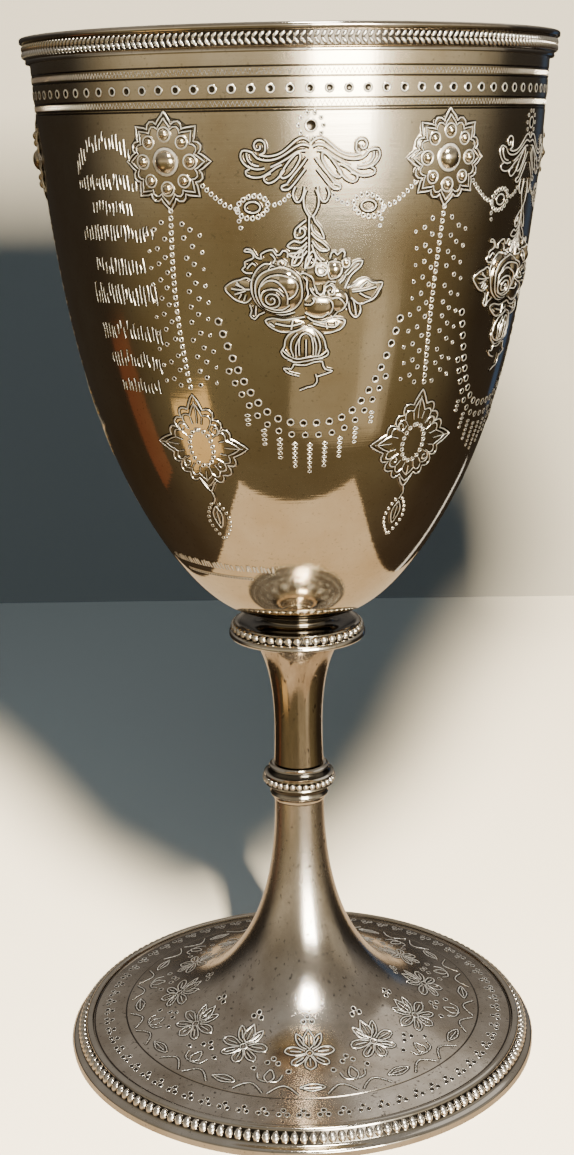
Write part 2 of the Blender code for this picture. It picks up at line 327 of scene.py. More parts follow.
def runAt(surface, part, value):
    # part 0 looks along the surface for a radius, part 1 for a height
    points, lengths = surface["points"], surface["lengths"]
    for i in range(len(points) - 1):
        low, high = points[i][part], points[i + 1][part]
        if (low - value) * (high - value) <= 0 and low != high:
            return lengths[i] + (lengths[i + 1] - lengths[i]) * (value - low) / (high - low)
    raise ValueError("no such place on the surface")


def bowlCurve(steps):
    shoulder = (bowlShape["mouth"], bowlShape["base"] + bowlShape["shoulder"])
    return bezierOutline(bowlShape["spans"], (bowlShape["seat"], bowlShape["base"]), shoulder, steps)


def footCurve(steps):
    edge = (footShape["edge"], footShape["level"] - footShape["fall"] * (footShape["edge"] - footShape["toe"]))
    low, high = (footShape["neck"], footShape["level"]), (footShape["toe"], footShape["top"])
    return [edge] + bezierOutline(footShape["spans"], low, high, steps)


bowlWall = surfaceFrom(bowlCurve(160) + [(bowlShape["mouth"], bowlShape["top"])])
footWall = surfaceFrom(footCurve(160))


def bowlRun(height):
    return runAt(bowlWall, 1, height)


def footRun(radius):
    return runAt(footWall, 0, radius)


# mesh helpers

# each vertex carries a painted tone: above zero dark tarnish with painted shade in hollows and creases, below
# zero a painted highlight on worn ridges
tarnishShadeGlintName = "tarnishShadeGlint"


def newPiece():
    bm = bmesh.new()
    bm.verts.layers.float.new(tarnishShadeGlintName)
    return bm


def spinOutline(outline, facets):
    bm = newPiece()
    tarnishShadeGlint = bm.verts.layers.float[tarnishShadeGlintName]
    verts = []
    for point in outline:
        verts.append(bm.verts.new((point[0] * mm, 0, point[1] * mm)))
        verts[-1][tarnishShadeGlint] = point[2] if len(point) > 2 else 0
    edges = [bm.edges.new(pair) for pair in zip(verts, verts[1:])]
    if outline[0][0] > 0:
        edges.append(bm.edges.new((verts[-1], verts[0])))
    bmesh.ops.spin(
        bm, geom=verts + edges, cent=(0, 0, 0), axis=(0, 0, 1), angle=math.tau, steps=facets, use_merge=True
    )
    bmesh.ops.remove_doubles(bm, verts=bm.verts, dist=1e-7)
    bmesh.ops.recalc_face_normals(bm, faces=bm.faces)
    return bm


def finishPiece(name, bm, material, nodes=(), creaseDegrees=40):
    mesh = bpy.data.meshes.new(name)
    bm.to_mesh(mesh)
    bm.free()
    mesh.shade_smooth()
    mesh.set_sharp_from_angle(angle=math.radians(creaseDegrees))
    mesh.materials.append(material)
    piece = bpy.data.objects.new(name, mesh)
    bpy.context.scene.collection.objects.link(piece)
    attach(piece, "root")
    if nodes:
        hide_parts(*nodes)
    print(f"{name}: {len(mesh.polygons)} faces")
    return piece


def joinTo(bm, other):
    mesh = bpy.data.meshes.new("joined")
    other.to_mesh(mesh)
    other.free()
    bm.from_mesh(mesh)
    bpy.data.meshes.remove(mesh)


def smoothPath(points, step=0.6, closed=False):
    count = len(points)
    points = [Vector(point) for point in points]
    pick = (lambda i: points[i % count]) if closed else (lambda i: points[min(max(i, 0), count - 1)])
    path = [points[0]]
    for i in range(count if closed else count - 1):
        a, b, c, d = pick(i - 1), pick(i), pick(i + 1), pick(i + 2)
        pieces = max(2, round((c - b).length / step))
        path += interpolate_bezier(
            (*b, 0), (*(b + (c - a) / 6), 0), (*(c - (d - b) / 6), 0), (*c, 0), pieces + 1
        )[1:]
    return [(p[0], p[1]) for p in path]


def spotAt(surface, degrees, run, x, y):
    # millimetres to the side of one point of the surface and along it, as (degrees, run)
    return degrees + math.degrees(x / onSurface(surface, run + y)[0][0]), run + y


# across a strip: reach to the side, height, and painted tone: 1 is dark tarnish with painted shade, -1 a worn
# edge with a painted highlight
lineProfile = (
    (-1, -0.02, 0.2), (-0.86, 0.05, 1), (-0.44, 0.1, 1), (-0.18, 1, -1), (0.18, 1, -1), (0.44, 0.1, 1),
    (0.86, 0.05, 1), (1, -0.02, 0.2),
)
wornGlintProfile = ((-1, -0.02, 0.2), (-0.6, 1, -1), (0.6, 1, -1), (1, -0.02, 0.2))


def stripAlong(bm, surface, spots, halfWidth, height, profile=lineProfile):
    # bends a flat grid onto the surface, along the (degrees, run, lift) spots
    tarnishShadeGlint = bm.verts.layers.float[tarnishShadeGlintName]
    last, sides = len(spots) - 1, len(profile) - 1
    feet = [layOn(surface, d, r, lift) for d, r, lift in spots]
    ups = [(layOn(surface, d, r, lift + 1) - foot) / mm for (d, r, lift), foot in zip(spots, feet)]
    for vert in bmesh.ops.create_grid(bm, x_segments=last, y_segments=sides, size=1)["verts"]:
        i = round((vert.co.x + 1) / 2 * last)
        j = round((vert.co.y + 1) / 2 * sides)
        along = (feet[min(i + 1, last)] - feet[max(i - 1, 0)]).normalized()
        across = ups[i].cross(along).normalized()
        reach, rise, dark = profile[j]
        rise = rise * height if rise > 0 else rise
        vert.co = feet[i] + (across * reach * halfWidth + ups[i] * rise) * mm
        # the profile paints dark tarnish with shade along the line's feet and a highlight on its ridge
        vert[tarnishShadeGlint] = dark


def template(name, shape):
    # shape makes a small stamp in a bmesh, with its foot on the plane z = 0
    bm = newPiece()
    shape(bm)
    mesh = bpy.data.meshes.new(name)
    bm.to_mesh(mesh)
    bm.free()
    return mesh


def domeShape(radius, height, sides=8, rings=6, long=1.0, crown=0.0):
    # a dome darkened round its foot with tarnish and painted shade, and with a painted highlight on its crown
    # where a crown is given; the sunken half is almost flat
    def shape(bm):
        tarnishShadeGlint = bm.verts.layers.float[tarnishShadeGlintName]
        bmesh.ops.create_uvsphere(bm, u_segments=sides, v_segments=rings, radius=1)
        for vert in bm.verts:
            vert[tarnishShadeGlint] = min(max(0.95 - 1.9 * vert.co.z, -crown), 0.95)
            if vert.co.z < -0.01:
                vert.co.z *= 0.1
        bmesh.ops.scale(bm, vec=(radius, radius * long, height), verts=bm.verts)

    return shape


def ringShape(radius, wall, height, sides=10):
    # a punched ring: a ridge with a painted highlight round a pit darkened with tarnish and painted shade
    def shape(bm):
        tarnishShadeGlint = bm.verts.layers.float[tarnishShadeGlintName]
        bmesh.ops.create_circle(bm, cap_ends=True, segments=sides, radius=radius)
        pit = bm.faces[:]
        for vert in bm.verts:
            vert[tarnishShadeGlint] = 0.8
        for depth, dark, share in ((height, -1, 0.8), (0, -1, 0.8), (-0.8 * height, 1, 0.8)):
            bmesh.ops.inset_region(bm, faces=pit, thickness=wall * share, depth=depth, use_boundary=True)
            for vert in pit[0].verts:
                vert[tarnishShadeGlint] = dark

    return shape


def stamp(bm, surface, mesh, degrees, run, turn=0.0, size=(1, 1, 1), lift=0.0):
    start = len(bm.verts)
    bm.from_mesh(mesh)
    bm.verts.ensure_lookup_table()
    turned = Matrix.Rotation(math.radians(turn), 2)
    for vert in bm.verts[start:]:
        x, y = turned @ Vector((vert.co.x * size[0], vert.co.y * size[1]))
        vert.co = layOn(surface, *spotAt(surface, degrees, run, x, y), vert.co.z * size[2] + lift)


def evenly(path, pitch):
    # points at an even pitch along a flat path
    spent, points, wanted = 0.0, [path[0]], pitch
    for before, after in zip(path, path[1:]):
        length = math.dist(before, after)
        while length and spent + length >= wanted:
            share = (wanted - spent) / length
            points.append(tuple(Vector(before).lerp(Vector(after), share)))
            wanted += pitch
        spent += length
    return points


def pairs(rows):
    # each row of a path table runs x, y, x, y
    return [list(zip(row[::2], row[1::2])) for row in rows]


# materials

def newGroup(name, amounts, results):
    # a node group that takes a vector and some amounts, with their usual values
    group = bpy.data.node_groups.new(name, "ShaderNodeTree")
    group.interface.new_socket(name="Vector", in_out="INPUT", socket_type="NodeSocketVector")
    for amount, value in amounts.items():
        socket = group.interface.new_socket(name=amount, in_out="INPUT", socket_type="NodeSocketFloat")
        socket.default_value = value
    for result in results:
        group.interface.new_socket(name=result, in_out="OUTPUT", socket_type="NodeSocketFloat")
    return group, group.nodes.new("NodeGroupInput").outputs, group.nodes.new("NodeGroupOutput")


def makeTarnishGroup():
    # soft patches of brown tarnish, with smaller dark specks
    amounts = {"Patch Scale": 40.0, "Speck Scale": 900.0, "Speck Amount": 0.5}
    group, given, end = newGroup("tarnishPatches", amounts, ("Patches", "Specks"))
    place = given["Vector"]
    patch = {"Vector": place, "Scale": given["Patch Scale"], "Detail": 6, "Roughness": 0.6}
    patch = addNode(group, "TexNoise", patch).outputs["Fac"]
    patch = addNode(group, "MapRange", {"Value": patch, "From Min": 0.35, "From Max": 0.68})
    speck = {"Vector": place, "Scale": given["Speck Scale"], "Detail": 3}
    speck = addNode(group, "TexNoise", speck).outputs["Fac"]
    speck = addNode(group, "MapRange", {"Value": speck, "From Min": 0.62, "From Max": 0.72})
    speck = addNode(group, "Math", {0: speck.outputs[0], 1: given["Speck Amount"]}, operation="MULTIPLY")
    feed(group, end, {"Patches": patch.outputs[0], "Specks": speck.outputs[0]})
    return group


def makeScratchGroup():
    # fine polishing lines, level, upright and aslant, as a height
    lines = {
        "Level Lines": ((25, 25, 2600), (0, 0, 0)), "Upright Lines": ((1500, 1500, 35), (0, 0, 0)),
        "Slanting Lines": ((30, 30, 1700), (0.3, 0.5, 0)),
    }
    group, given, end = newGroup("polishingLines", dict.fromkeys(lines, 1.0), ("Height",))
    total = 0
    for name, (scale, turn) in lines.items():
        place = addNode(group, "Mapping", {"Vector": given["Vector"], "Scale": scale, "Rotation": turn})
        noise = addNode(group, "TexNoise", {"Vector": place.outputs[0], "Scale": 1, "Detail": 2})
        weigh = {0: noise.outputs["Fac"], 1: given[name], 2: total}
        total = addNode(group, "Math", weigh, operation="MULTIPLY_ADD").outputs[0]
    feed(group, end, {"Height": total})
    return group


tarnishPatches = makeTarnishGroup()
polishingLines = makeScratchGroup()

# what a silver has unless its own settings say otherwise
silver = {
    "bright": (1, 0.97, 0.9), "stretch": 1.0, "dullBetween": (0.0, 1.0), "dullAbove": 0.0,
    "lineDepth": 0.00006, "tarnishShadeAmount": 0.9, "edgeAmount": 1.0, "edgeRoughness": 0.45,
}


def makeSilver(name, settings):
    settings = {**silver, **settings}
    material, tree, shader = newMaterial(name)
    place = addNode(tree, "TexCoord").outputs["Object"]
    stretch = addNode(tree, "Mapping", {"Vector": place, "Scale": (1, 1, settings["stretch"])}).outputs[0]
    tarnish = {
        "Vector": stretch, "Patch Scale": settings["patchScale"], "Speck Scale": settings["speckScale"],
        "Speck Amount": settings["speckAmount"],
    }
    tarnish = addNode(tree, "Group", node_tree=tarnishPatches, inputs=tarnish).outputs
    level, upright, slanting = settings["lines"]
    lines = {"Vector": place, "Level Lines": level, "Upright Lines": upright, "Slanting Lines": slanting}
    lines = addNode(tree, "Group", node_tree=polishingLines, inputs=lines).outputs["Height"]
    # painted tone per vertex: above zero it mixes in dark tarnish with painted shade, below zero a painted
    # highlight colour, and those worn ridges are also rougher
    tarnishShadeGlint = addNode(tree, "Attribute", attribute_name=tarnishShadeGlintName).outputs["Fac"]
    depth = addNode(tree, "MapRange", {"Value": tarnishShadeGlint, "To Max": settings["tarnishShadeAmount"]}).outputs[0]
    edge = {"Value": tarnishShadeGlint, "From Max": -1, "To Max": settings["edgeAmount"]}
    edge = addNode(tree, "MapRange", edge).outputs[0]
    colour = (*settings["clean"], 1)
    patches, specks = tarnish["Patches"], tarnish["Specks"]
    # colour layers: tarnish patches, dark specks, tarnish with painted shade, and the painted highlight on worn
    # ridges
    for layer, share in (("tarnished", patches), ("dark", specks), ("dark", depth), ("bright", edge)):
        mix = {0: share, 6: colour, 7: (*settings[layer], 1)}
        colour = addNode(tree, "Mix", data_type="RGBA", inputs=mix).outputs[2]
    # smooth low on the cup, duller above, and scratched on worn edges
    smooth, worn = settings["roughness"]
    rough = addNode(tree, "MapRange", {"Value": patches, "To Min": smooth, "To Max": worn}).outputs[0]
    low, high = settings["dullBetween"]
    height = addNode(tree, "SeparateXYZ", {"Vector": place}).outputs["Z"]
    dull = {"Value": height, "From Min": low, "From Max": high, "To Max": settings["dullAbove"]}
    dull = addNode(tree, "MapRange", dull).outputs[0]
    for part, share in ((dull, 1), (edge, settings["edgeRoughness"])):
        rough = addNode(tree, "Math", {0: part, 1: share, 2: rough}, operation="MULTIPLY_ADD").outputs[0]
    pits = addNode(tree, "Math", {0: specks, 1: settings["pitDepth"], 2: lines}, operation="MULTIPLY_ADD")
    bump = {"Height": pits.outputs[0], "Strength": settings["lineStrength"], "Distance": settings["lineDepth"]}
    bump = addNode(tree, "Bump", bump).outputs[0]
    feed(tree, shader, {"Metallic": 1, "Base Color": colour, "Roughness": rough, "Normal": bump})
    return material


# lines are how strong the level, upright and slanting ones are
bowlSilver = makeSilver("bowlSilver", {
    "clean": (0.90, 0.82, 0.66), "tarnished": (0.66, 0.53, 0.34), "dark": (0.035, 0.026, 0.018),
    "bright": (1, 0.95, 0.85), "patchScale": 28.0, "speckScale": 1500.0, "speckAmount": 0.25,
    "pitDepth": -0.5, "roughness": (0.04, 0.08), "dullBetween": (0.145, 0.215), "dullAbove": 0.13,
    "lines": (0.5, 0.7, 0.9), "lineStrength": 0.11,
})
stemSilver = makeSilver("stemSilver", {
    "clean": (0.68, 0.58, 0.45), "tarnished": (0.36, 0.275, 0.185), "dark": (0.09, 0.065, 0.04),
    "bright": (1, 0.95, 0.85), "patchScale": 170.0, "speckScale": 1000.0, "speckAmount": 0.95,
    "pitDepth": -3.0, "stretch": 0.3, "roughness": (0.10, 0.2), "lines": (0.4, 1.0, 0.2), "lineStrength": 0.2,
})
footSilver = makeSilver("footSilver", {
    "clean": (0.82, 0.74, 0.64), "tarnished": (0.48, 0.405, 0.315), "dark": (0.06, 0.05, 0.04),
    "patchScale": 80.0, "speckScale": 1100.0, "speckAmount": 0.7, "pitDepth": -3.0, "stretch": 0.6,
    "roughness": (0.12, 0.21), "dullBetween": (0.028, 0.045), "dullAbove": 0.1,
    "lines": (0.6, 1.0, 0.2), "lineStrength": 0.12,
})
mountSilver = makeSilver("mountSilver", {
    "clean": (0.80, 0.74, 0.65), "tarnished": (0.62, 0.55, 0.45), "dark": (0.02, 0.016, 0.012),
    "patchScale": 70.0, "speckScale": 1400.0, "speckAmount": 0.3, "pitDepth": -1.0,
    "roughness": (0.07, 0.14), "lines": (0.8, 0.3, 0.0), "lineStrength": 0.1, "lineDepth": 0.00005,
    "tarnishShadeAmount": 0.95,
})
print("materials ready")

# the turned pieces

bowlGrooves = {"places": (224.25, 224.75, 226.4, 230.4, 232.3), "halfWidth": 0.2, "depth": 0.14}
footGrooves = {"places": (44.4, 52.35), "halfWidth": 0.2, "depth": 0.14}


def grooved(outline, part, places, halfWidth, depth):
    # cuts V grooves into an outline where it passes each height (part 1) or radius (part 0), darkening their
    # bottoms with tarnish and painted shade
    surface = surfaceFrom(outline)
    cuts = sorted(runAt(surface, part, place) for place in places)
    section = ((-halfWidth, 0), (-0.5 * halfWidth, -depth), (0.5 * halfWidth, -depth), (halfWidth, 0))
    points = []
    for run, point in zip(surface["lengths"], outline):
        while cuts and cuts[0] < run + halfWidth:
            cut = cuts.pop(0)
            for step, sink in section:
                foot, outward = onSurface(surface, cut + step)
                points.append((*(foot + sink * outward), 1.0 if sink else 0.0))
        if all(math.dist(point[:2], other[:2]) > 0.05 for other in points[-3:]):
            if not (points and part == 1 and point[1] < points[-1][1]):
                points.append(point)
    return points


def buildBowl():
    base, mouth, top, wall = (bowlShape[name] for name in ("base", "mouth", "top", "wall"))
    coarse = bowlCurve(34)
    outer = grooved(coarse, 1, **bowlGrooves)
    inner = [spot for spot in offsetOutline(coarse, wall) if spot[0] > 0][::2]
    outline = [(0, base), *outer, (mouth, top), (mouth - wall, top), *inner[::-1], (0, base + wall)]
    finishPiece("bowlShell", spinOutline(outline, 256), bowlSilver, ["bowl"], 20)


def buildFoot():
    coarse = footCurve(36)
    outer = grooved(coarse, 0, **footGrooves)
    inner = offsetOutline(coarse, footShape["sheet"])[::2]
    inner[0] = (footShape["edge"], inner[0][1])
    inner[-1] = (footShape["neck"] - footShape["sheet"], footShape["top"])
    outline = outer + inner[::-1]
    finishPiece("trumpetFoot", spinOutline(outline, 256), footSilver, ["trumpet_foot"], 20)


stemShape = {
    "base": 72.2, "length": 31.8, "foot": 6.0, "head": 11.0, "wall": 1.0,
    "spans": (((0, 0), (-0.11, 0.35), (-0.12, 0.78), (1, 1)),),
}


def buildStem():
    foot = (stemShape["foot"], stemShape["base"])
    head = (stemShape["head"], stemShape["base"] + stemShape["length"])
    outer, inner = (bezierOutline(stemShape["spans"], foot, head, steps) for steps in (40, 16))
    outline = outer + [(r - stemShape["wall"], z) for r, z in inner[::-1]]
    finishPiece("upperStem", spinOutline(outline, 96), stemSilver, ["upper_stem"])


# Each mount is an outline of radius, height above the base and, on some points, dark tarnish with painted shade
# in its hollows.
# Its seat is the line that the beads stand on, and a row has its run on the seat and its turn.
rimShape = {
    "base": 234.8, "facets": 256,
    "outline": (
        (56.6, 0), (57.18, 0), (57.28, 0.3), (57.18, 0.72), (56.95, 0.85), (57.5, 0.98), (57.62, 1.12, 1),
        (57.62, 3.72, 1), (57.5, 3.86), (57.9, 3.98), (58.25, 4.08), (58.4, 4.35), (58.4, 4.9), (58.25, 5.12),
        (58.0, 5.2), (55.4, 5.2), (55.15, 5.1), (55.1, 4.9), (55.1, 4.4), (56.6, 4.4),
    ),
    "seat": ((57.62, 1.12), (57.62, 3.72)), "count": 280, "rows": ((1.92, -42), (0.68, 42)),
    "bead": {"radius": 0.44, "height": 0.42, "sides": 6, "rings": 6, "long": 0.98 / 0.44, "crown": 0.6},
}
collarShape = {
    "base": 104.3, "facets": 128,
    # the dish inside the beads is darkened as painted shade, standing in for the dark reflection of the bowl's
    # underside
    "outline": (
        (0, 0), (15.4, 0), (15.9, 0.1), (16.2, 0.45), (16.2, 1.2), (15.95, 1.5), (15.3, 1.62, 1), (15.0, 1.85, 1),
        (14.75, 3.2, 1), (14.95, 3.4), (14.85, 3.7), (14.45, 3.85), (14.1, 3.75), (13.5, 3.4, 0.7),
        (12.2, 2.95, 0.85), (11.0, 2.7, 0.9), (9.8, 2.9, 0.9), (8.8, 3.5, 0.85), (8.35, 4.4, 0.8),
        (8.3, 5.0, 0.5), (8.6, 5.6), (9.0, 6.0), (0, 6.0),
    ),
    "seat": ((15.05, 1.7), (14.8, 3.3)), "count": 45, "rows": ((0.82, 0),),
    "bead": {"radius": 1.04, "height": 1.0, "sides": 12, "rings": 8, "crown": 0.5},
}
stemRingShape = {
    "base": 62.8, "facets": 96,
    "outline": (
        (5.1, 0), (6.25, 0), (6.35, 0.5), (6.35, 0.8, 1), (6.95, 1.15), (7.1, 1.5), (6.9, 1.9), (6.75, 2.5, 0.9),
        (7.1, 3.2, 0.9), (7.9, 3.7, 0.3), (8.35, 4.1), (8.2, 4.6, 1), (8.2, 6.1, 1), (8.5, 6.4), (8.5, 6.75),
        (8.2, 6.95), (7.6, 7.05, 0.9), (7.35, 7.5, 0.8), (7.2, 8.0, 0.9), (7.35, 8.25), (7.2, 8.6),
        (6.75, 8.8), (6.6, 9.1), (5.1, 9.1),
    ),
    "seat": ((8.15, 4.5), (8.15, 6.2)), "count": 33, "rows": ((0.85, 0),),
    "bead": {"radius": 0.80, "height": 0.8, "sides": 10, "rings": 8, "long": 1.1, "crown": 0.5},
}
borderShape = {
    "base": 0, "facets": 328,
    "outline": (
        (57.6, 0), (57.9, 0.3), (57.9, 1.5), (57.7, 1.95), (57.2, 2.2), (56.6, 2.3), (56.2, 2.6), (56.1, 3.0, 1),
        (54.55, 4.95, 1), (54.5, 5.25), (54.3, 5.55), (54.0, 5.75), (53.2, 5.8), (52.95, 5.7), (52.8, 5.4),
        (54.3, 5.08), (54.3, 0),
    ),
    "seat": ((56.1, 2.95), (54.55, 4.95)), "count": 164, "rows": ((1.22, 0),),
    "bead": {"radius": 1.02, "height": 0.85, "sides": 10, "rings": 8, "long": 1.4, "crown": 0.5},
}


def buildMount(name, node, shape):
    base, count = shape["base"], shape["count"]
    bm = spinOutline([(point[0], base + point[1], *point[2:]) for point in shape["outline"]], shape["facets"])
    seat = surfaceFrom([(radius, base + height) for radius, height in shape["seat"]])
    bead = template(name + "Bead", domeShape(**shape["bead"]))
    beads = newPiece()
    for run, turn in shape["rows"]:
        for i in range(count):
            stamp(beads, seat, bead, 360 * i / count, run, turn)
    joinTo(bm, beads)
    finishPiece(name, bm, mountSilver, [node])


buildBowl()
buildMount("rimBand", "rim_band", rimShape)
buildMount("beadedCollar", "beaded_collar", collarShape)
buildStem()
buildMount("stemRing", "stem_ring", stemRingShape)
buildFoot()
buildMount("footBorder", "foot_border", borderShape)
print("turned pieces ready")

# the bowl's ornament

panels = {"count": 6, "front": 4.0, "plain": 5}
panelMiddles = [panels["front"] + 360 / panels["count"] * i for i in range(panels["count"])]
panelEdges = [middle + 180 / panels["count"] for middle in panelMiddles]
chasedMiddles = [middle for i, middle in enumerate(panelMiddles) if i != panels["plain"]]


def raised(mounds, x, z):
    # how far the raised work stands out at one place
    best = 0.0
    for mx, mz, rx, rz, height in mounds:
        best = max(best, height * math.sqrt(max(1 - ((x - mx) / rx) ** 2 - ((z - mz) / rz) ** 2, 0)))
    return best


def placeOn(turned, x, z):
    # millimetres across a panel and height on the bowl, as (degrees, run)
    run = bowlRun(z)
    return turned + math.degrees(x / onSurface(bowlWall, run)[0][0]), run


def chase(bm, turned, paths, base, mounds=(), halfWidth=0.5, height=0.14, side=1, profile=lineProfile):
    # paths are (across, height above base); side -1 mirrors them
    for path in paths:
        spots = []
        for x, z in smoothPath(path, 0.55):
            degrees, run = placeOn(turned, side * x, base + z)
            spots.append((degrees, run, raised(mounds, x, base + z) + 0.03))
        stripAlong(bm, bowlWall, spots, halfWidth, height, profile)


def heap(bm, dome, turned, mounds):
    for x, z, rx, rz, height in mounds:
        degrees, run = placeOn(turned, x, z)
        stamp(bm, bowlWall, dome, degrees, run, size=(rx, rz, height))


def beadRow(bm, bead, turned, path, pitch, size=1.0):
    for x, z in evenly(path, pitch):
        stamp(bm, bowlWall, bead, *placeOn(turned, x, z), size=(size, size, size))


rosette = {
    "height": 215.0, "ring": 5.15, "heart": (2.95, 2.25, 1.5), "plate": (8.6, 0.55),
    # two knobs in turn: radius of the punched ring, of the dome in it, and how far that stands out
    "knobs": ((1.62, 1.02, 1.0), (1.45, 0.85, 0.8)),
    # one of the eight lobes, as degrees and reach
    "lobe": (
        (0, 9.4), (3, 8.75), (7, 8.15), (10, 7.75), (13, 7.2), (17, 7.85), (22.5, 8.15), (28, 7.85), (32, 7.2),
        (35, 7.75), (38, 8.15), (42, 8.75),
    ),
}


def buildRosettes():
    bm = newPiece()
    run = bowlRun(rosette["height"])
    dome = template("rosetteDome", domeShape(1, 1, 16, 10))
    ring = template("rosetteRing", ringShape(1, 0.14, 0.14, 20))
    outline = [(math.radians(45 * i + turn), reach) for i in range(8) for turn, reach in rosette["lobe"]]
    outline.append(outline[0])
    width, lift = rosette["plate"]
    for edge in panelEdges:
        stamp(bm, bowlWall, dome, edge, run, size=(width, width, lift))
        for share, halfWidth in ((1, 0.5), (0.87, 0.42)):
            spots = []
            for angle, reach in outline:
                x, y = reach * share * math.sin(angle), reach * share * math.cos(angle)
                level = lift * math.sqrt(max(1 - (x * x + y * y) / width ** 2, 0))
                spots.append((*spotAt(bowlWall, edge, run, x, y), level))
            stripAlong(bm, bowlWall, spots, halfWidth, 0.18)
        for i in range(8):
            outer, inner, stands = rosette["knobs"][i % 2]
            angle = math.tau * i / 8
            x, y = rosette["ring"] * math.sin(angle), rosette["ring"] * math.cos(angle)
            spot = spotAt(bowlWall, edge, run, x, y)
            stamp(bm, bowlWall, ring, *spot, size=(outer, outer, 1), lift=0.4)
            stamp(bm, bowlWall, dome, *spot, size=(inner, inner, stands), lift=0.35)
        outer, inner, stands = rosette["heart"]
        stamp(bm, bowlWall, ring, edge, run, size=(outer, outer, 1.3), lift=0.5)
        stamp(bm, bowlWall, dome, edge, run, size=(inner, inner, stands), lift=0.45)
    finishPiece("bowlRosettes", bm, bowlSilver)


palmette = {
    "base": 200, "crown": 221.4, "dotsRound": (10, 2.4),
    # the dotted oval on each side: across, height, half width, half height, and its dip outwards
    "oval": (11.3, 206.3, 3.0, 2.1, 0.12),
    "innerBeads": ((4.3, 208.4), (5.6, 207.2), (8.0, 206.4)),
    "outerBeads": ((14.6, 206.0), (16.6, 206.6), (18.8, 208.2), (20.8, 210.0), (22.0, 211.2)),
    "dots": ((14.0, 203.7), (13.7, 202.4)),
}
# half of the wing-shaped ornament over each bouquet, and its sprig: across and height above the base
wingPaths = pairs((
    (-0.1, 18.3, -0.8, 18.9, -1.8, 19.1, -2.8, 18.7, -4, 17.7, -5.4, 16.6, -6.8, 16, -8.4, 15.8, -9.8, 16.1),
    (-0.2, 17.5, -1.5, 17.9, -2.7, 17.6, -4.2, 16.6, -5.9, 15.6, -7.5, 15.1, -9.1, 15.1, -10.3, 15.5, -11.1,
     16.4),
    (-9.8, 16.1, -8.9, 16.5, -8.7, 17.4, -8.9, 18.4, -9.7, 18.8, -10.5, 18.6, -10.9, 17.8, -10.4, 17, -9.7,
     17.2, -9.7, 17.8),
    (-11.1, 16.5, -12.3, 16.9, -13.2, 16.8, -13.5, 15.8, -13, 14.7, -11.9, 13.8, -10.2, 13.4, -8.9, 13.6),
    (-12.3, 16.5, -12.2, 15.4, -11.3, 14.3, -10, 14),
    (-11.7, 13.5, -12.5, 13.1, -12.3, 12.3, -11.1, 11.9, -9.5, 12, -8, 12.8, -6.7, 13.7, -5.6, 14.2),
    (-7.7, 12.6, -8.8, 12.2, -9, 11.4, -8.2, 10.8, -7, 11.2, -5.9, 12.2, -5.1, 13.2),
    (-5.4, 13.2, -5.9, 12.3, -5.4, 11.7, -4.5, 12, -3.8, 12.6, -2.8, 13.9, -2.1, 15.3, -2.2, 16.3, -3, 16.1,
     -4.3, 14.7, -5.3, 13.3),
    (-4.5, 10.6, -5.6, 10.2, -5.5, 9.6, -4.4, 9.6, -3.4, 10.5, -2.2, 12, -1.1, 13.4),
    (-3, 10.1, -3.5, 8.8, -3.1, 7.5, -2.3, 7.2, -1.6, 8.3, -1.2, 10.1),
    (-1, 16.8, -2.6, 16.6, -4.3, 15.5, -6.1, 14.5, -7.7, 13.8),
    (-0.8, 15.5, -1.7, 14.2, -3.4, 12.2, -4.5, 10.8), (-0.9, 9.5, -1.4, 8.3, -1.4, 6.5, -0.8, 5.1, -0.2, 4.3),
))
sprigPaths = pairs((
    (-0.4, 4.4, -0.4, 1.6, -0.4, -1.4, -0.5, -4.2, -0.6, -6.5),
    (0.3, 4.8, 0.8, 3.4, 1.8, 2.2, 2.5, 0.2, 1.5, 0.6, 0.3, 1.7, 0, 3),
    (0, 1.3, 1, 0.2, 2.3, -0.6, 3.5, -1.9, 2.2, -2.2, 1, -1.4, 0.2, -0.2),
    (0.1, -0.9, 0.6, -2.3, 1.5, -3.8, 2.7, -4.5),
    (-1, 3.7, -2.1, 2.9, -3.1, 1.9, -3.1, 0.6, -2.1, 0.4, -1.2, 1.1, -1.4, 2.1, -2.1, 2.2, -2.2, 1.4),
    (-0.8, 0.5, -2, -0.5, -3.4, -0.2, -4.6, -1.2, -3.2, -1.6, -1.8, -1.4, -0.8, -0.5),
    (-0.8, -1.1, -1.8, -2.3, -3.2, -2.5, -4.4, -2.7, -3.4, -3.3, -1.8, -3.2, -0.8, -2.1),
))


